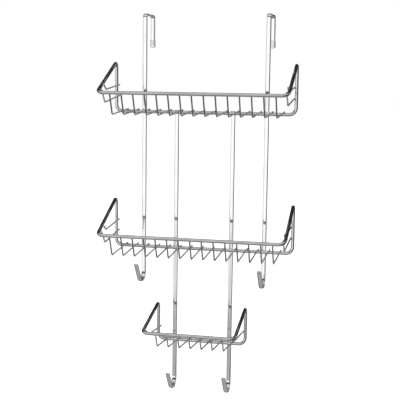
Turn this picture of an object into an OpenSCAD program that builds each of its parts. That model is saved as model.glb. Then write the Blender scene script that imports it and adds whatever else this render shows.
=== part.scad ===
// Over-the-door shower caddy: four flat steel bars, three welded wire baskets and two soft end caps.
// The origin is midway between the two door hooks, on the door's top edge, at the bars' front face.
// +X is to the user's right, -Y points away from the door towards the user, and +Z is up.

/* [Bars] */
// Width of each flat bar
bar_w = 10; // [8:0.5:11]
// Thickness of each flat bar
bar_t = 4; // [3:0.5:5]
// Distance between the centres of the two outer bars
outer_span = 274; // [268:2:282]
// Distance between the centres of the two inner bars
inner_span = 126; // [122:2:128]
// Reach of the outer bars below the door's top edge
outer_drop = 590; // [575:1:600]
// Reach of the inner bars below the door's top edge
inner_drop = 832; // [815:1:850]

/* [Door hooks] */
// Clear gap that each hook leaves for the door
door_gap = 60; // [45:1:65]
// Height of each hook's back leg, from the hook's top to the cap's lower end
back_leg_h = 72; // [60:1:85]
// Bend radius on the inside of the hook's two corners
door_bend_r = 4; // [3:0.5:6]
// Height of the soft end cap
cap_h = 17; // [14:1:22]
// Wall thickness of the soft end cap
cap_wall = 1; // [0.8:0.1:1.3]

/* [Towel hooks] */
// Bend radius of the towel hook, to the middle of the bar
towel_bend_r = 20; // [16:1:22]
// Angle between the hook's tip and the vertical
towel_flare = 37; // [25:1:42]
// Length of the hook's straight tip
towel_tip = 46; // [30:1:50]

/* [Wires] */
// Diameter of the basket's frame wire
frame_d = 7.5; // [7:0.1:8]
// Diameter of the floor and side wires
wire_d = 3.4; // [3:0.1:3.8]
// Depth that welded wires sink into each other
weld_bite = 0.3; // [0.1:0.1:0.5]
// Depth of every basket, from the bars' front face to the middle of the front rail
basket_d = 140; // [130:1:150]

/* [Wide baskets] */
// Width of a wide basket, between the middles of its side frames
wide_w = 401; // [396:1:406]
// Height of the front rail above the back rail
wide_rim_h = 43; // [38:1:48]
// Height of the side frame's sharp peak above the back rail
wide_peak_h = 109; // [104:1:114]
// Number of floor wires in a wide basket
wide_wires = 15; // [13:2:15]
// Distance between floor wires in a wide basket
wide_pitch = 25; // [24.6:0.1:25.4]
// Depth of the top basket's back rail below the door's top edge
top_basket_drop = 210; // [205:1:215]
// Depth of the middle basket's back rail below the door's top edge
middle_basket_drop = 512; // [506:1:516]

/* [Small basket] */
// Width of the small basket, between the middles of its side frames
small_w = 200; // [196:1:204]
// Height of the small basket's front rail above its back rail
small_rim_h = 48; // [44:1:52]
// Height of the small side frame's sharp peak above the back rail
small_peak_h = 84; // [80:1:88]
// Number of floor wires in the small basket
small_wires = 7; // [5:2:7]
// Distance between floor wires in the small basket
small_pitch = 24.2; // [24:0.1:24.4]
// Depth of the small basket's back rail below the door's top edge
bottom_basket_drop = 723; // [715:1:728]

/* [Hidden] */
$fn = 48;

// Bars
bar_mid = bar_t / 2;
// Largest turn between two points of an arc, in degrees
arc_step = 6;
outer_x = outer_span / 2;
inner_x = inner_span / 2;
back_leg_y = bar_t + door_gap;
cap_bottom_z = bar_t - back_leg_h;
leg_bottom_z = cap_bottom_z + cap_wall;
// The inner bars start just above the top basket's back rail
inner_top_z = -top_basket_drop + frame_d / 2 + 1;

// Baskets
back_rail_y = -frame_d / 2 + weld_bite;
rim_bend_r = 14;
peak_bend_r = 8;
rail_bend_r = 15;
// Distance between the middles of a frame wire and a thin wire where they are welded
wire_offset = (frame_d + wire_d) / 2 - weld_bite;
wire_end_y = 2;
wire_bend_r = 5;
// A bend is a hair thicker than the straight wire, and the runs end this far inside it
bend_swell = 0.04;
joint_overlap = 0.3;
// Distance from the front rail back to the floor wires' front bend
floor_setback = 25;
// Height of the floor wires' front bend above the back rail
wide_floor_z = -3;
small_floor_z = 14;
// Side wires, each as [start, bend, end] with points [y, z] from the back rail
wide_side_wires = [
    [[-110, 60], [-95, 49], [wire_end_y, 58]],
    [[-126, 50], [-102, 22], [wire_end_y, 34]]
];
small_side_wires = [
    [[-126, 50], [-107, 36], [wire_end_y, 28]]
];

// Each basket: name, depth of its back rail below the door's top edge, width, front rail height,
// peak height, number of floor wires, their pitch, floor bend height, side wires
BASKETS = [
    ["top", top_basket_drop, wide_w, wide_rim_h, wide_peak_h, wide_wires, wide_pitch,
        wide_floor_z, wide_side_wires],
    ["middle", middle_basket_drop, wide_w, wide_rim_h, wide_peak_h, wide_wires, wide_pitch,
        wide_floor_z, wide_side_wires],
    ["bottom", bottom_basket_drop, small_w, small_rim_h, small_peak_h, small_wires, small_pitch,
        small_floor_z, small_side_wires]
];
SIDES = [["left", -1], ["right", 1]];

function two_digits(n) = n < 10 ? str("0", n) : str(n);
function frame_name(basket) = str(basket[0], "_basket_frame");
function floor_wire_name(basket, n) = str(basket[0], "_floor_wire_", two_digits(n));
function side_wire_name(basket, side, n) = str(basket[0], "_", side[0], "_side_wire_", n);

// ---- Bent round wire -------------------------------------------------------------------------

function unit(v) = v / norm(v);
function turn_angle(u, v) = acos(max(-1, min(1, u * v)));

// Length that a bend of radius bend_r takes off each run that meets at point p
function bend_cut(before, p, after, bend_r) =
    bend_r * tan(turn_angle(unit(p - before), unit(after - p)) / 2);

// A straight length of wire from a to b, whose ends may reach a little way into the bends
module wire_run(a, b, d, reach_a, reach_b) {
    u = unit(b - a);
    translate(a - u * reach_a)
        rotate([0, acos(u.z), atan2(u.y, u.x)])
            cylinder(d = d, h = norm(b - a) + reach_a + reach_b);
}

// One bend of a wire: it comes in along u, turns round corner p and leaves along v
module wire_bend(p, u, v, bend_r, d) {
    axis = unit(cross(u, v));
    out = cross(u, axis);
    turn = turn_angle(u, v);
    centre = p - u * bend_r * tan(turn / 2) - out * bend_r;
    multmatrix([
        [out.x, u.x, axis.x, centre.x],
        [out.y, u.y, axis.y, centre.y],
        [out.z, u.z, axis.z, centre.z],
        [0, 0, 0, 1]
    ])
        rotate_extrude(angle = turn)
            translate([bend_r, 0]) circle(d = d + bend_swell);
}

// A wire through three points with one bend
module bent_wire(start, corner, end, bend_r, d) {
    cut = bend_cut(start, corner, end, bend_r);
    u = unit(corner - start);
    v = unit(end - corner);
    wire_run(start, corner - u * cut, d, 0, joint_overlap);
    wire_bend(corner, u, v, bend_r, d);
    wire_run(corner + v * cut, end, d, joint_overlap, 0);
}

// A closed loop of wire through the points, with one bend radius for each point
module wire_loop(points, radii, d) {
    n = len(points);
    cut = [for (i = [0:n - 1])
        bend_cut(points[(i + n - 1) % n], points[i], points[(i + 1) % n], radii[i])];
    for (i = [0:n - 1]) {
        before = (i + n - 1) % n;
        after = (i + 1) % n;
        u = unit(points[i] - points[before]);
        v = unit(points[after] - points[i]);
        wire_bend(points[i], u, v, radii[i], d);
        wire_run(points[i] + v * cut[i], points[after] - v * cut[after], d,
            joint_overlap, joint_overlap);
    }
}

// ---- Flat bars, as outlines in the YZ plane --------------------------------------------------

// Points along an arc, which runs clockwise where to is less than from
function arc(centre, r, from, to) = let (steps = ceil(abs(to - from) / arc_step))
    [for (i = [0:steps]) let (a = from + (to - from) * i / steps) centre + r * [cos(a), sin(a)]];

// Outline of a bar whose lower end bends forward and up in a towel hook, lowest at z = -drop.
// above holds the rest of the outline, from the bar's front face round to its back face
module hooked_bar_outline(above, drop) {
    centre = [bar_mid - towel_bend_r, bar_mid + towel_bend_r - drop];
    last = towel_flare - 180;
    along = [sin(last), -cos(last)];
    tip = centre + towel_bend_r * [cos(last), sin(last)] + (towel_tip - bar_mid) * along;
    polygon([
        each above,
        each arc(centre, towel_bend_r + bar_mid, 0, last),
        each arc(tip, bar_mid, last, last - 180),
        each arc(centre, towel_bend_r - bar_mid, last, 0)
    ]);
}

// The outer bar's upper end: over the door's top edge, down its back leg and back again
function door_hook_points() = let (
    front = [bar_t + door_bend_r, -door_bend_r],
    rear = [back_leg_y - door_bend_r, -door_bend_r],
    outside_r = door_bend_r + bar_t
) [
    each arc(front, outside_r, 180, 90),
    each arc(rear, outside_r, 90, 0),
    [back_leg_y + bar_t, leg_bottom_z],
    [back_leg_y, leg_bottom_z],
    each arc(rear, door_bend_r, 0, 90),
    each arc(front, door_bend_r, 90, 180)
];

// Turns an outline in the YZ plane into a bar across X, with its middle at x
module across(x) {
    translate([x - bar_w / 2, 0, 0])
        rotate([90, 0, 90])
            linear_extrude(bar_w) children();
}

module outer_bar(side) {
    color([0.82, 0.83, 0.84]) across(side[1] * outer_x)
        hooked_bar_outline(door_hook_points(), outer_drop);
}

module inner_bar(side) {
    color([0.82, 0.83, 0.84]) across(side[1] * inner_x)
        hooked_bar_outline([[0, inner_top_z], [bar_t, inner_top_z]], inner_drop);
}

// A soft sleeve with a closed bottom, pressed over the end of the back leg
module door_hook_cap(side) {
    color([0.78, 0.78, 0.76])
        translate([side[1] * outer_x - bar_w / 2, back_leg_y, cap_bottom_z])
            difference() {
                translate([-cap_wall, -cap_wall, 0])
                    cube([bar_w + 2 * cap_wall, bar_t + 2 * cap_wall, cap_h]);
                translate([0, 0, cap_wall]) cube([bar_w, bar_t, cap_h]);
            }
}

// ---- Baskets ---------------------------------------------------------------------------------

// The heavy frame wire: front rail, side arms rising to a peak, rear legs and back rail
module basket_frame(basket) {
    x = basket[2] / 2;
    rim_h = basket[3];
    peak_h = basket[4];
    points = [
        [-x, -basket_d, rim_h], [x, -basket_d, rim_h],
        [x, back_rail_y, peak_h], [x, back_rail_y, 0],
        [-x, back_rail_y, 0], [-x, back_rail_y, peak_h]
    ];
    radii = [rim_bend_r, rim_bend_r, peak_bend_r, rail_bend_r, rail_bend_r, peak_bend_r];
    color([0.70, 0.71, 0.71])
        translate([0, 0, -basket[1]]) wire_loop(points, radii, frame_d);
}

// Floor wire number n from the left: down behind the front rail, then back over the back rail
module floor_wire(basket, n) {
    x = (n - (basket[5] + 1) / 2) * basket[6];
    color([0.66, 0.67, 0.67])
        translate([x, 0, -basket[1]])
            bent_wire([0, -basket_d + wire_offset, basket[3] + 1],
                [0, -basket_d + floor_setback, basket[7]],
                [0, wire_end_y, wire_offset], wire_bend_r, wire_d);
}

// Side wire number n from the top: down inside the side arm, then back past the rear leg
module side_wire(basket, side, n) {
    x = side[1] * (basket[2] / 2 - wire_offset);
    route = [for (p = basket[8][n - 1]) [0, p[0], p[1]]];
    color([0.66, 0.67, 0.67])
        translate([x, 0, -basket[1]])
            bent_wire(route[0], route[1], route[2], wire_bend_r, wire_d);
}

// ---- The pieces ------------------------------------------------------------------------------

for (side = SIDES) {
    outer_bar(side);
    inner_bar(side);
    door_hook_cap(side);
}
for (basket = BASKETS) {
    basket_frame(basket);
    for (n = [1:basket[5]])
        floor_wire(basket, n);
    for (side = SIDES, n = [1:len(basket[8])])
        side_wire(basket, side, n);
}
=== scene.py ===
"""Looks of the over-the-door shower caddy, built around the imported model. All sizes are in metres."""
import math

import bmesh
import bpy
from mathutils import Matrix, Vector, noise


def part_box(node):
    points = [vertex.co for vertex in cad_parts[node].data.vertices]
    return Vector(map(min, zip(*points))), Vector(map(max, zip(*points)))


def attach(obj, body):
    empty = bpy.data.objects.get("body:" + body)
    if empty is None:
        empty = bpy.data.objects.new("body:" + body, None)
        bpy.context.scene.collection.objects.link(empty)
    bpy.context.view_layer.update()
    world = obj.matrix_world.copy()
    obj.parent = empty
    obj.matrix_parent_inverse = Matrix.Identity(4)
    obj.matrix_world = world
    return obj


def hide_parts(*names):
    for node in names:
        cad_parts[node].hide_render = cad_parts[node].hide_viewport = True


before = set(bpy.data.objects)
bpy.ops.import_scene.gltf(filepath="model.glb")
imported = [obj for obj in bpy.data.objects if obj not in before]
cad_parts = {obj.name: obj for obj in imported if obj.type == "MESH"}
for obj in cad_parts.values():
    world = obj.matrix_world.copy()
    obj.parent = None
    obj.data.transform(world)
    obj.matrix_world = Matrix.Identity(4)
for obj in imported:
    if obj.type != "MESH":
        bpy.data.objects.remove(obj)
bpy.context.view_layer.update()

# ---- Sizes that the frame's boxes don't give -----------------------------------------------------

FRAME_R = 0.00375      # radius of the baskets' frame wire
WIRE_R = 0.0017        # radius of the floor and side wires
WELD_BITE = 0.0003     # how far welded wires sink into each other
WIRE_BEND_R = 0.005
WIRE_END_ROUND = 0.0007
FRAME_BENDS = (0.014, 0.014, 0.008, 0.015, 0.015, 0.008)  # at the points of basket_corners
BAR_W = 0.010
BAR_T = 0.004
BAR_EDGE = (0.0033, 0.0019)  # rounding along the bars' edges: across the face, through the thickness
DOOR_BEND_R = 0.006    # to the middle of the bar
TOWEL_BEND_R = 0.020   # to the middle of the bar
TOWEL_FLARE = math.radians(37)
TOWEL_TIP = 0.046
LEG_END_ROUND = 0.0006       # at the bar's end inside the cap
INNER_BAR_END_ROUND = 0.0007
CAP_WALL = 0.001
CAP_GAP = 0.00004      # between the cap and the bar inside it
WIRE_OFFSET = FRAME_R + WIRE_R - WELD_BITE
WIRE_END_Y = 0.002
WIRE_RISE = 0.001      # of the floor wires' front ends above the middle of the front rail
FLOOR_SETBACK = 0.025  # from the front rail back to the floor wires' bend

# Half sizes of the weld spots
FRONT_WELD = (0.0019, 0.0011, 0.0026)
BACK_WELD = (0.0020, 0.0026, 0.0009)
ARM_WELD = (0.0009, 0.0024, 0.0022)
LEG_WELD = (0.0009, 0.0026, 0.0020)
BAR_WELD = (0.0040, 0.0010, 0.0010)

# How finely curves are cut
ARC_STEP = math.radians(7.5)
FRAME_SIDES = 24
WIRE_SIDES = 16
CORNER_STEPS = 7
END_STEPS = 4

WIDE = {
    "rim": 0.043, "peak": 0.109, "floor": -0.003, "wires": 15,
    "side_wires": [
        [(-0.110, 0.060), (-0.095, 0.049), (WIRE_END_Y, 0.058)],
        [(-0.126, 0.050), (-0.102, 0.022), (WIRE_END_Y, 0.034)],
    ],
}
SMALL = {
    "rim": 0.048, "peak": 0.084, "floor": 0.014, "wires": 7,
    "side_wires": [[(-0.126, 0.050), (-0.107, 0.036), (WIRE_END_Y, 0.028)]],
}
BASKETS = {"top": WIDE, "middle": WIDE, "bottom": SMALL}
WELDED_BARS = {"top": ("outer", "inner"), "middle": ("outer", "inner"), "bottom": ("inner",)}
SIDES = {"left": -1, "right": 1}

# The photograph's viewing angle
CAMERA_AT = Vector((0.446, -2.047, -0.125))
CAMERA_YAW = math.radians(-12.51)
CAMERA_PITCH = math.radians(-7.55)
CAMERA_ROLL = math.radians(0.78)
CAMERA_LENS = 85.9

FLOOR_Z = -2.0         # the ground under a door that the caddy hangs on
FLOOR_HALF = 40.0      # half the side of the pale floor
CADDY_MIDDLE = Vector((0, -0.07, -0.42))

# How bright each part of the studio is
WALL = 1.15            # the long wall in front
WALL_END = 0.75        # share of that at the wall's left end
WALL_PATCH = 0.38      # how much a grey patch low on the wall takes away
WALL_FOOT = 0.46       # below the wall
RIGHT_WALL = 0.24
CEILING = 0.8
RIGHT_PANEL = 0.9      # behind to the right
BACK_STRIPS = 0.5
FAR_DOWN = 0.27        # added straight below
NEAR_DOWN = 0.09       # added everywhere below level
ROOM = 0.03


# ---- Paths and sweeps ----------------------------------------------------------------------------

def bend(before, corner, after, radius):
    """Points along the arc that rounds one corner of a path."""
    u = (corner - before).normalized()
    v = (after - corner).normalized()
    turn = u.angle(v)
    out = u.cross(u.cross(v)).normalized()
    centre = corner - u * radius * math.tan(turn / 2) - out * radius
    steps = max(2, math.ceil(turn / ARC_STEP))
    return [centre + radius * (out * math.cos(turn * i / steps) + u * math.sin(turn * i / steps))
            for i in range(steps + 1)]


def open_path(points, radius):
    """A path whose inner corners are rounded."""
    path = [points[0]]
    for before, corner, after in zip(points, points[1:], points[2:]):
        path += bend(before, corner, after, radius)
    return path + [points[-1]]


def closed_path(points, radii):
    """A loop with one bend radius for each corner."""
    path = []
    for i, radius in enumerate(radii):
        path += bend(points[i - 1], points[i], points[(i + 1) % len(points)], radius)
    return path


def tangents(path, closed):
    """Unit directions of a path at its points. The ends of a long straight run keep its direction."""
    n = len(path)
    result = []
    for i in range(n):
        u = path[i] - path[i - 1] if i > 0 or closed else Vector()
        v = path[(i + 1) % n] - path[i] if i < n - 1 or closed else Vector()
        if u.length > 4 * v.length:
            v = Vector()
        elif v.length > 4 * u.length:
            u = Vector()
        result.append((u.normalized() + v.normalized()).normalized())
    return result


def carried_frames(path, closed):
    """A side direction at each point of a path, carried along it without twist."""
    along = tangents(path, closed)
    side = along[0].orthogonal().normalized()
    sides = [side]
    for before, after in zip(along, along[1:]):
        side = before.rotation_difference(after) @ side
        side = (side - after * side.dot(after)).normalized()
        sides.append(side)
    if closed:
        back = along[-1].rotation_difference(along[0]) @ sides[-1]
        slip = math.atan2(back.cross(sides[0]).dot(along[0]), back.dot(sides[0]))
        sides = [Matrix.Rotation(slip * i / len(path), 3, along[i]) @ s for i, s in enumerate(sides)]
    return along, sides


def circle(radius, sides):
    """A round section: (u, v, normal u, normal v) for each point."""
    angles = [2 * math.pi * i / sides for i in range(sides)]
    return [(radius * math.cos(a), radius * math.sin(a), math.cos(a), math.sin(a)) for a in angles]


def rounded_rectangle(half_u, half_v, corner_u, corner_v):
    """A rectangular section with elliptical corners: (u, v, normal u, normal v) for each point."""
    section = []
    for quarter, (su, sv) in enumerate([(1, 1), (-1, 1), (-1, -1), (1, -1)]):
        for i in range(CORNER_STEPS + 1):
            a = (quarter + i / CORNER_STEPS) * math.pi / 2
            normal = Vector((math.cos(a) * corner_v, math.sin(a) * corner_u)).normalized()
            section.append((su * (half_u - corner_u) + corner_u * math.cos(a),
                            sv * (half_v - corner_v) + corner_v * math.sin(a), normal.x, normal.y))
    return section


def new_object(name, verts, faces, normals=None):
    """A mesh object with smooth shading and, where given, exact normals."""
    mesh = bpy.data.meshes.new(name)
    mesh.from_pydata(verts, [], faces)
    mesh.polygons.foreach_set("use_smooth", [True] * len(mesh.polygons))
    mesh.update()
    if normals:
        mesh.normals_split_custom_set_from_vertices(normals)
    obj = bpy.data.objects.new(name, mesh)
    bpy.context.scene.collection.objects.link(obj)
    return obj


def loft(name, stations, closed=False):
    """Skins a row of sections. A station is (centre, side, up, along, section, lean), and lean is how
    far the surface's normal leans along the path: -1 at a first end face, 0 on a side, 1 at a last."""
    verts, normals, faces = [], [], []
    for centre, side, up, along, section, lean in stations:
        for u, v, nu, nv in section:
            verts.append(centre + side * u + up * v)
            outward = (side * nu + up * nv) * math.sqrt(max(0.0, 1 - lean * lean))
            normals.append(outward + along * lean)
    n = len(stations[0][4])
    rows = len(stations)
    for i in range(rows if closed else rows - 1):
        a, b = i * n, (i + 1) % rows * n
        faces += [(a + j, a + (j + 1) % n, b + (j + 1) % n, b + j) for j in range(n)]
    if not closed:
        faces.append(tuple(reversed(range(n))))
        faces.append(tuple((rows - 1) * n + j for j in range(n)))
    return new_object(name, verts, faces, normals)


def end_rings(depth, sign):
    """Steps of a rounded end: (inset, distance outward, lean), from the side towards the tip."""
    rings = []
    for i in range(1, END_STEPS + 1):
        a = i / END_STEPS * math.pi / 2
        rings.append((depth * (1 - math.cos(a)), depth * math.sin(a), sign * math.sin(a)))
    return rings


def round_wire(name, path, radius, sides, closed=False):
    """A swept round wire. Its cut ends have rounded edges and end where the path ends."""
    along, side = carried_frames(path, closed)
    up = [a.cross(s) for a, s in zip(along, side)]
    if closed:
        return loft(name, [(p, s, u, a, circle(radius, sides), 0)
                           for p, s, u, a in zip(path, side, up, along)], closed=True)
    path = list(path)
    path[0] = path[0] + along[0] * WIRE_END_ROUND
    path[-1] = path[-1] - along[-1] * WIRE_END_ROUND
    stations = [(p, s, u, a, circle(radius, sides), 0) for p, s, u, a in zip(path, side, up, along)]
    first = [(path[0] - along[0] * out, side[0], up[0], along[0], circle(radius - inset, sides), lean)
             for inset, out, lean in end_rings(WIRE_END_ROUND, -1)]
    last = [(path[-1] + along[-1] * out, side[-1], up[-1], along[-1], circle(radius - inset, sides), lean)
            for inset, out, lean in end_rings(WIRE_END_ROUND, 1)]
    return loft(name, first[::-1] + stations + last)


def flat_bar(name, path, first_round, last_round):
    """A flat bar swept along a path in a YZ plane. Both its ends are rounded, inside the path."""
    along = tangents(path, False)
    across = Vector((1, 0, 0))
    path = list(path)
    path[0] = path[0] + along[0] * first_round
    path[-1] = path[-1] - along[-1] * last_round

    def station(i, inset=0.0, out=0.0, lean=0.0):
        section = rounded_rectangle(BAR_W / 2 - inset, max(BAR_T / 2 - inset, 0.00005),
                                    *(max(edge - inset, 0.00004) for edge in BAR_EDGE))
        towards = along[i] if i else -along[i]
        return path[i] + towards * out, across, along[i].cross(across), along[i], section, lean

    first = [station(0, *ring) for ring in end_rings(first_round, -1)]
    middle = [station(i) for i in range(len(path))]
    last = [station(len(path) - 1, *ring) for ring in end_rings(last_round, 1)]
    return loft(name, first[::-1] + middle + last)


# ---- Materials -----------------------------------------------------------------------------------

def add(tree, kind, **values):
    """A new node, with the given values on its sockets or settings."""
    made = tree.nodes.new(kind)
    for key, value in values.items():
        socket = made.inputs.get(key.replace("_", " ").title()) or made.inputs.get(key)
        if socket is not None:
            socket.default_value = value
        else:
            setattr(made, key, value)
    return made


def stretched_noise(tree, scale, detail, stretch=(1, 1, 1)):
    """Noise in the object's own space. A small stretch value draws it out along that axis."""
    where = add(tree, "ShaderNodeTexCoord")
    mapped = add(tree, "ShaderNodeMapping")
    mapped.inputs["Scale"].default_value = stretch
    made = add(tree, "ShaderNodeTexNoise", scale=scale, detail=detail)
    tree.links.new(where.outputs["Object"], mapped.inputs["Vector"])
    tree.links.new(mapped.outputs["Vector"], made.inputs["Vector"])
    return made.outputs["Fac"]


def remapped(tree, source, low, high):
    """Noise, whose middle part is spread over a range of values."""
    made = add(tree, "ShaderNodeMapRange")
    for name, value in (("From Min", 0.3), ("From Max", 0.7), ("To Min", low), ("To Max", high)):
        made.inputs[name].default_value = value
    tree.links.new(source, made.inputs["Value"])
    return made.outputs["Result"]


def two_tone(tree, source, dark, light):
    """Colour that drifts between two tones."""
    ramp = add(tree, "ShaderNodeValToRGB")
    for element, position, colour in zip(ramp.color_ramp.elements, (0.35, 0.65), (dark, light)):
        element.position = position
        element.color = (*colour, 1)
    tree.links.new(source, ramp.inputs["Fac"])
    return ramp.outputs["Color"]


def bumped(tree, shader, layers):
    """Chains bump layers, each (height, distance, strength), into a shader's normal."""
    normal = None
    for height, distance, strength in layers:
        made = add(tree, "ShaderNodeBump", distance=distance, strength=strength)
        tree.links.new(height, made.inputs["Height"])
        if normal is not None:
            tree.links.new(normal, made.inputs["Normal"])
        normal = made.outputs["Normal"]
    tree.links.new(normal, shader.inputs["Normal"])


def new_material(name):
    """An empty node material and its main shader."""
    made = bpy.data.materials.new(name)
    made.use_nodes = True
    return made, made.node_tree, made.node_tree.nodes["Principled BSDF"]


def chrome(name, dark, light, rough, stretch, wave):
    """Chrome plating: slow tone drift, hazier patches with fine polishing marks, a wavy surface."""
    made, tree, shader = new_material(name)
    shader.inputs["Metallic"].default_value = 1.0
    tone = stretched_noise(tree, 14, 4)
    tree.links.new(two_tone(tree, tone, dark, light), shader.inputs["Base Color"])
    haze = stretched_noise(tree, 900, 5, stretch)
    tree.links.new(remapped(tree, haze, *rough), shader.inputs["Roughness"])
    ripple = stretched_noise(tree, 70, 2, stretch)
    grain = stretched_noise(tree, 2600, 3, stretch)
    bumped(tree, shader, [(ripple, 0.0004, wave), (grain, 0.00002, 0.08)])
    return made


def weld_metal():
    """Plating over a weld: duller and lumpier than on the wires."""
    made, tree, shader = new_material("weld_metal")
    shader.inputs["Metallic"].default_value = 1.0
    spots = stretched_noise(tree, 700, 4)
    tree.links.new(two_tone(tree, spots, (0.36, 0.36, 0.35), (0.66, 0.66, 0.65)),
                   shader.inputs["Base Color"])
    tree.links.new(remapped(tree, spots, 0.38, 0.18), shader.inputs["Roughness"])
    bumped(tree, shader, [(stretched_noise(tree, 1400, 3), 0.0001, 0.5)])
    return made


def vinyl():
    """Nearly clear vinyl with faint clouds and mould marks."""
    made, tree, shader = new_material("vinyl_cap")
    shader.inputs["Transmission Weight"].default_value = 0.9
    shader.inputs["IOR"].default_value = 1.35
    cloud = stretched_noise(tree, 90, 2)
    tree.links.new(two_tone(tree, cloud, (0.93, 0.935, 0.93), (0.97, 0.97, 0.965)),
                   shader.inputs["Base Color"])
    tree.links.new(remapped(tree, cloud, 0.10, 0.04), shader.inputs["Roughness"])
    bumped(tree, shader, [(stretched_noise(tree, 500, 2, (1, 1, 0.2)), 0.00003, 0.06)])
    return made


BAR_CHROME = chrome("bar_chrome", (0.80, 0.81, 0.81), (0.88, 0.885, 0.885),
                    (0.03, 0.09), (1, 1, 0.06), 0.05)
FRAME_CHROME = chrome("frame_wire_chrome", (0.72, 0.725, 0.72), (0.82, 0.825, 0.82),
                      (0.06, 0.15), (1, 1, 1), 0.06)
WIRE_CHROME = chrome("thin_wire_chrome", (0.80, 0.805, 0.80), (0.88, 0.885, 0.88),
                     (0.08, 0.20), (1, 1, 1), 0.08)
WELD_METAL = weld_metal()
VINYL = vinyl()


def finish_piece(obj, material, slot, *nodes):
    """Gives a piece its material, attaches it to the root body and hides the CAD nodes it replaces. The slot
    is not used.
    """
    obj.data.materials.append(material)
    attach(obj, "root")
    if nodes:
        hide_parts(*nodes)
    return obj


# ---- Flat bars -----------------------------------------------------------------------------------

def towel_hook_path(x, lowest):
    """The bar's lower end: down, round under and up to the flared tip."""
    y = BAR_T / 2
    centre = Vector((x, y - TOWEL_BEND_R, lowest + BAR_T / 2 + TOWEL_BEND_R))
    turn = math.pi - TOWEL_FLARE
    steps = math.ceil(turn / ARC_STEP)
    arc = [centre + TOWEL_BEND_R * Vector((0, math.cos(turn * i / steps), -math.sin(turn * i / steps)))
           for i in range(steps + 1)]
    up_and_out = Vector((0, -math.sin(TOWEL_FLARE), math.cos(TOWEL_FLARE)))
    return arc + [arc[-1] + up_and_out * TOWEL_TIP]


def outer_bar(side):
    """From the end of the back leg, over the door and down to the towel hook."""
    node = f"{side}_outer_bar"
    low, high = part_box(node)
    x = (low.x + high.x) / 2
    back_y = high.y - BAR_T / 2
    top_z = high.z - BAR_T / 2
    leg_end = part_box(f"{side}_door_hook_cap")[0].z + CAP_WALL
    hook = towel_hook_path(x, low.z)
    corners = [Vector((x, back_y, leg_end)), Vector((x, back_y, top_z)),
               Vector((x, BAR_T / 2, top_z)), hook[0]]
    path = open_path(corners, DOOR_BEND_R) + hook[1:]
    bar = flat_bar(f"{side}_outer_bar_chromed", path, LEG_END_ROUND, BAR_T / 2)
    finish_piece(bar, BAR_CHROME, "chrome_bar", node)


def inner_bar(side):
    """From the top basket's back rail down to the towel hook."""
    node = f"{side}_inner_bar"
    low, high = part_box(node)
    x = (low.x + high.x) / 2
    path = [Vector((x, BAR_T / 2, high.z))] + towel_hook_path(x, low.z)
    bar = flat_bar(f"{side}_inner_bar_chromed", path, INNER_BAR_END_ROUND, BAR_T / 2)
    finish_piece(bar, BAR_CHROME, "chrome_bar", node)


def door_hook_cap(side):
    """A soft sleeve with a closed, rounded bottom and a thin rolled lip."""
    node = f"{side}_door_hook_cap"
    low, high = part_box(node)
    centre = (low + high) / 2
    half_u = (high.x - low.x) / 2
    half_v = (high.y - low.y) / 2
    height = high.z - low.z
    inner = CAP_WALL - CAP_GAP
    # (distance up from the bottom, inset from the outer surface, lean of the normal along +Z)
    outside = [(0.0, 0.0013, -1), (0.0002, 0.0006, -0.8), (0.0006, 0.0002, -0.4), (0.0013, 0.0, 0),
               (0.0030, 0.00012, 0), (height * 0.5, 0.00018, 0), (height - 0.0026, 0.00012, 0),
               (height - 0.0016, 0.0, 0), (height - 0.0005, 0.0, 0.2), (height - 0.0001, 0.0002, 0.7),
               (height, 0.0005, 1)]
    inside = [(height - 0.0002, inner - 0.0001, 1), (height - 0.0006, inner, 0),
              (inner, inner, 0), (inner, inner + 0.0002, 1)]
    stations = []
    for facing, rings in ((1, outside), (-1, inside)):
        for up, inset, lean in rings:
            section = [(u, v, facing * nu, facing * nv) for u, v, nu, nv in rounded_rectangle(
                half_u - inset, half_v - inset, *(edge + CAP_WALL - inset - 0.0001 for edge in BAR_EDGE))]
            at = Vector((centre.x, centre.y, low.z + up))
            stations.append((at, Vector((1, 0, 0)), Vector((0, 1, 0)), Vector((0, 0, 1)), section, lean))
    cap = loft(f"{side}_door_hook_cap_vinyl", stations)
    finish_piece(cap, VINYL, "end_cap", node)


# ---- Baskets -------------------------------------------------------------------------------------

def basket_corners(basket, shape):
    """Corner points of a basket's frame, on the wire's middle, in order round the loop."""
    low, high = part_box(f"{basket}_basket_frame")
    x = high.x - FRAME_R
    front = low.y + FRAME_R
    back = high.y - FRAME_R
    rail = low.z + FRAME_R
    return [Vector(p) for p in (
        (-x, front, rail + shape["rim"]), (x, front, rail + shape["rim"]),
        (x, back, rail + shape["peak"]), (x, back, rail),
        (-x, back, rail), (-x, back, rail + shape["peak"]))]


def basket_frame(basket, shape):
    """Front rail, side arms, rear legs and back rail, bent from one wire."""
    path = closed_path(basket_corners(basket, shape), FRAME_BENDS)
    node = f"{basket}_basket_frame"
    wire = round_wire(f"{node}_chromed", path, FRAME_R, FRAME_SIDES, closed=True)
    finish_piece(wire, FRAME_CHROME, "chrome_frame_wire", node)


def floor_wires(basket, shape):
    """The floor wires, from the front rail down and back over the back rail."""
    corners = basket_corners(basket, shape)
    front, rail = corners[0].y, corners[3].z
    ends = []
    for n in range(1, shape["wires"] + 1):
        node = f"{basket}_floor_wire_{n:02d}"
        low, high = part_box(node)
        x = (low.x + high.x) / 2
        points = [Vector((x, front + WIRE_OFFSET, rail + shape["rim"] + WIRE_RISE)),
                  Vector((x, front + FLOOR_SETBACK, rail + shape["floor"])),
                  Vector((x, WIRE_END_Y, rail + WIRE_OFFSET))]
        wire = round_wire(f"{node}_chromed", open_path(points, WIRE_BEND_R), WIRE_R, WIRE_SIDES)
        finish_piece(wire, WIRE_CHROME, "chrome_thin_wire", node)
        ends.append(points)
    return ends


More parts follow.
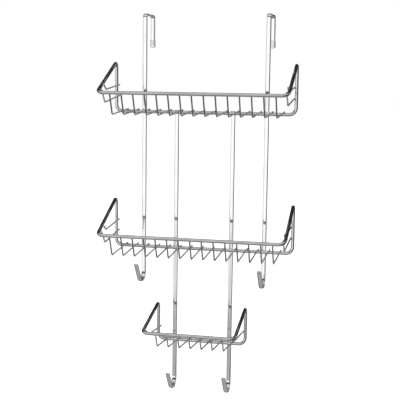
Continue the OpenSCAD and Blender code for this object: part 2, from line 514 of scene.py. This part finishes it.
def side_wires(basket, shape):
    """The side wires, from the side arm down and back past the rear leg."""
    corners = basket_corners(basket, shape)
    rail = corners[3].z
    ends = []
    for side, sign in SIDES.items():
        x = sign * (corners[1].x - WIRE_OFFSET)
        for n, route in enumerate(shape["side_wires"], 1):
            node = f"{basket}_{side}_side_wire_{n}"
            points = [Vector((x, y, rail + z)) for y, z in route]
            wire = round_wire(f"{node}_chromed", open_path(points, WIRE_BEND_R), WIRE_R, WIRE_SIDES)
            finish_piece(wire, WIRE_CHROME, "chrome_thin_wire", node)
            ends.append((sign, points))
    return ends


# ---- Welds ---------------------------------------------------------------------------------------

def weld_spot(bm, at, size, seed):
    """One lump of weld metal: a small ellipsoid with an uneven skin."""
    made = bmesh.ops.create_icosphere(bm, subdivisions=2, radius=1.0)
    for vert in made["verts"]:
        swell = 1 + 0.12 * noise.noise(vert.co * 1.7 + Vector((seed * 3.1, seed * 1.3, 0)))
        vert.co = Vector(c * s * swell for c, s in zip(vert.co, size)) + at


def basket_welds(basket, shape, floor_ends, side_ends, bars):
    """All the welds of one basket, as one piece."""
    bm = bmesh.new()
    corners = basket_corners(basket, shape)
    front, back, rail = corners[0].y, corners[3].y, corners[3].z
    rim = corners[0].z
    seed = 0
    for start, _, end in floor_ends:
        seed += 1
        weld_spot(bm, Vector((start.x, front + FRAME_R, rim - 0.0008)), FRONT_WELD, seed)
        weld_spot(bm, Vector((end.x, back, rail + FRAME_R)), BACK_WELD, seed + 50)
    for sign, (start, _, end) in side_ends:
        seed += 1
        x = sign * (corners[1].x - FRAME_R)
        weld_spot(bm, Vector((x, start.y + 0.001, start.z - 0.001)), ARM_WELD, seed)
        weld_spot(bm, Vector((x, back, end.z)), LEG_WELD, seed + 50)
    for x in bars:
        seed += 1
        for sign in (-1, 1):
            at = Vector((x, back + FRAME_R - WELD_BITE - 0.0002, rail + sign * 0.0019))
            weld_spot(bm, at, BAR_WELD, seed + sign)
    mesh = bpy.data.meshes.new(f"{basket}_basket_welds")
    bm.to_mesh(mesh)
    bm.free()
    mesh.polygons.foreach_set("use_smooth", [True] * len(mesh.polygons))
    welds = bpy.data.objects.new(mesh.name, mesh)
    bpy.context.scene.collection.objects.link(welds)
    finish_piece(welds, WELD_METAL, "chrome_thin_wire")


# ---- Studio --------------------------------------------------------------------------------------

def studio_floor():
    """A wide, plain, pale floor."""
    corners = [(x * FLOOR_HALF, y * FLOOR_HALF, FLOOR_Z) for x, y in ((-1, -1), (1, -1), (1, 1), (-1, 1))]
    floor = new_object("studio_floor", corners, [(0, 1, 2, 3)])
    made, tree, shader = new_material("pale_floor")
    tone = stretched_noise(tree, 3, 2)
    tree.links.new(two_tone(tree, tone, (0.90, 0.90, 0.90), (0.93, 0.93, 0.93)), shader.inputs["Base Color"])
    shader.inputs["Roughness"].default_value = 0.9
    shader.inputs["Emission Color"].default_value = (1, 1, 1, 1)
    shader.inputs["Emission Strength"].default_value = 0.9
    floor.data.materials.append(made)
    floor.visible_glossy = False


def smooth_step(tree, source, start, end):
    """0 before start and 1 after end, with a smooth change between; start may be above end."""
    made = add(tree, "ShaderNodeMapRange", interpolation_type="SMOOTHSTEP")
    made.inputs["From Min"].default_value = start
    made.inputs["From Max"].default_value = end
    tree.links.new(source, made.inputs["Value"])
    return made.outputs["Result"]


def band(tree, source, *edges):
    """1 between the two inner edges, 0 outside the two outer ones."""
    return combine(tree, "MULTIPLY", smooth_step(tree, source, edges[0], edges[1]),
                   smooth_step(tree, source, edges[3], edges[2]))


def combine(tree, operation, *values):
    """Folds a math operation over sockets and numbers."""
    result = values[0]
    for value in values[1:]:
        made = add(tree, "ShaderNodeMath", operation=operation)
        for socket, part in zip(made.inputs, (result, value)):
            if isinstance(part, (int, float)):
                socket.default_value = part
            else:
                tree.links.new(part, socket)
        result = made.outputs["Value"]
    return result


def arcsine(tree, source):
    """The angle whose sine is source."""
    made = add(tree, "ShaderNodeMath", operation="ARCSINE")
    tree.links.new(source, made.inputs[0])
    return made.outputs["Value"]


def studio_world():
    """Soft light all round: a long white wall in front, a pale ceiling over the front half, a grey
    wall and a panel to the right, a dark room with two dim strips behind and a dim floor. The edges
    of each are in degrees, around from the front and up from level."""
    world = bpy.data.worlds.new("studio_light")
    world.use_nodes = True
    bpy.context.scene.world = world
    tree = world.node_tree
    tree.nodes.clear()
    where = add(tree, "ShaderNodeTexCoord")
    split = add(tree, "ShaderNodeSeparateXYZ")
    tree.links.new(where.outputs["Generated"], split.inputs["Vector"])
    x, y, z = (split.outputs[name] for name in "XYZ")
    around = combine(tree, "MULTIPLY", combine(tree, "ARCTAN2", x, combine(tree, "MULTIPLY", y, -1)),
                     math.degrees(1))
    height = combine(tree, "MULTIPLY", arcsine(tree, z), math.degrees(1))

    wall_end = combine(tree, "MULTIPLY", band(tree, around, -96, -84, -45, -33), WALL_END)
    front = combine(tree, "ADD", band(tree, around, -45, -33, 12, 20), wall_end)
    wall = combine(tree, "MULTIPLY", front, band(tree, height, -14.6, -13, 8, 13), WALL)
    patch = combine(tree, "MULTIPLY", band(tree, around, -15.7, -14.9, -9.9, -9.2),
                    smooth_step(tree, height, -8.5, -10), WALL_PATCH)
    wall = combine(tree, "MULTIPLY", wall, combine(tree, "SUBTRACT", 1, patch))
    wall_foot = combine(tree, "MULTIPLY", front, band(tree, height, -26, -21, -14.6, -13), WALL_FOOT)
    right_wall = combine(tree, "MULTIPLY", band(tree, around, 12, 20, 50, 60),
                         band(tree, height, -30, -20, 20, 30), RIGHT_WALL)
    ceiling = combine(tree, "MULTIPLY", smooth_step(tree, height, 31, 41),
                      smooth_step(tree, y, 0.2, 0.0), CEILING)
    right_panel = combine(tree, "MULTIPLY", band(tree, around, 113, 118, 130, 136),
                          band(tree, height, -34, -26, 30, 40), RIGHT_PANEL)
    low_back = combine(tree, "MULTIPLY", smooth_step(tree, y, 0.83, 0.91),
                       band(tree, height, -32, -24, -12, -9), BACK_STRIPS)
    high_back = combine(tree, "MULTIPLY", smooth_step(tree, around, 153, 160),
                        band(tree, height, 9, 12, 24, 30), BACK_STRIPS)
    far_down = combine(tree, "MULTIPLY", smooth_step(tree, height, -50, -64), FAR_DOWN)
    near_down = combine(tree, "MULTIPLY", smooth_step(tree, height, -20, -26), NEAR_DOWN)
    total = combine(tree, "ADD", wall, wall_foot, right_wall, ceiling, right_panel, low_back, high_back,
                    far_down, near_down, ROOM)
    seen = add(tree, "ShaderNodeLightPath")
    lit = add(tree, "ShaderNodeBackground")
    lit.inputs["Color"].default_value = (1.0, 1.0, 0.985, 1)
    tree.links.new(total, lit.inputs["Strength"])
    backdrop = add(tree, "ShaderNodeBackground")
    backdrop.inputs["Color"].default_value = (1, 1, 1, 1)
    mixed = add(tree, "ShaderNodeMixShader")
    output = add(tree, "ShaderNodeOutputWorld")
    tree.links.new(seen.outputs["Is Camera Ray"], mixed.inputs[0])
    tree.links.new(lit.outputs["Background"], mixed.inputs[1])
    tree.links.new(backdrop.outputs["Background"], mixed.inputs[2])
    tree.links.new(mixed.outputs["Shader"], output.inputs["Surface"])


def soft_light(name, at, size, power):
    """A large square area light that faces the middle of the caddy. The chrome doesn't mirror it."""
    lamp = bpy.data.lights.new(name, "AREA")
    lamp.shape = "SQUARE"
    lamp.size = size
    lamp.energy = power
    obj = bpy.data.objects.new(name, lamp)
    obj.location = at
    obj.rotation_euler = (CADDY_MIDDLE - obj.location).to_track_quat("-Z", "Y").to_euler()
    obj.visible_glossy = False
    bpy.context.scene.collection.objects.link(obj)


def camera():
    """The camera, looking along CAMERA_YAW and CAMERA_PITCH and turned by CAMERA_ROLL."""
    lens = bpy.data.cameras.new("camera")
    lens.lens = CAMERA_LENS
    lens.sensor_width = 36
    obj = bpy.data.objects.new("camera", lens)
    forward = Vector((math.sin(CAMERA_YAW) * math.cos(CAMERA_PITCH),
                      math.cos(CAMERA_YAW) * math.cos(CAMERA_PITCH), math.sin(CAMERA_PITCH)))
    level = Vector((math.cos(CAMERA_YAW), -math.sin(CAMERA_YAW), 0))
    upright = level.cross(forward)
    right = math.cos(CAMERA_ROLL) * level + math.sin(CAMERA_ROLL) * upright
    up = right.cross(forward)
    turned = Matrix((right, up, -forward)).transposed().to_4x4()
    obj.matrix_world = Matrix.Translation(CAMERA_AT) @ turned
    bpy.context.scene.collection.objects.link(obj)
    bpy.context.scene.camera = obj


# ---- The scene -----------------------------------------------------------------------------------

camera()
bar_x = {"outer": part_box("right_outer_bar"), "inner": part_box("right_inner_bar")}
bar_x = {name: (low.x + high.x) / 2 for name, (low, high) in bar_x.items()}

for side in SIDES:
    outer_bar(side)
    inner_bar(side)
    door_hook_cap(side)
for basket, shape in BASKETS.items():
    basket_frame(basket, shape)
    floor_ends = floor_wires(basket, shape)
    side_ends = side_wires(basket, shape)
    crossings = [sign * bar_x[name] for name in WELDED_BARS[basket] for sign in (-1, 1)]
    basket_welds(basket, shape, floor_ends, side_ends, crossings)

studio_floor()
studio_world()
soft_light("key_softbox", Vector((-1.6, -2.2, 1.6)), 1.4, 26)
soft_light("fill_softbox", Vector((1.8, -1.6, 0.8)), 1.2, 14)
bpy.context.scene.view_settings.view_transform = "Standard"

bpy.context.view_layer.update()
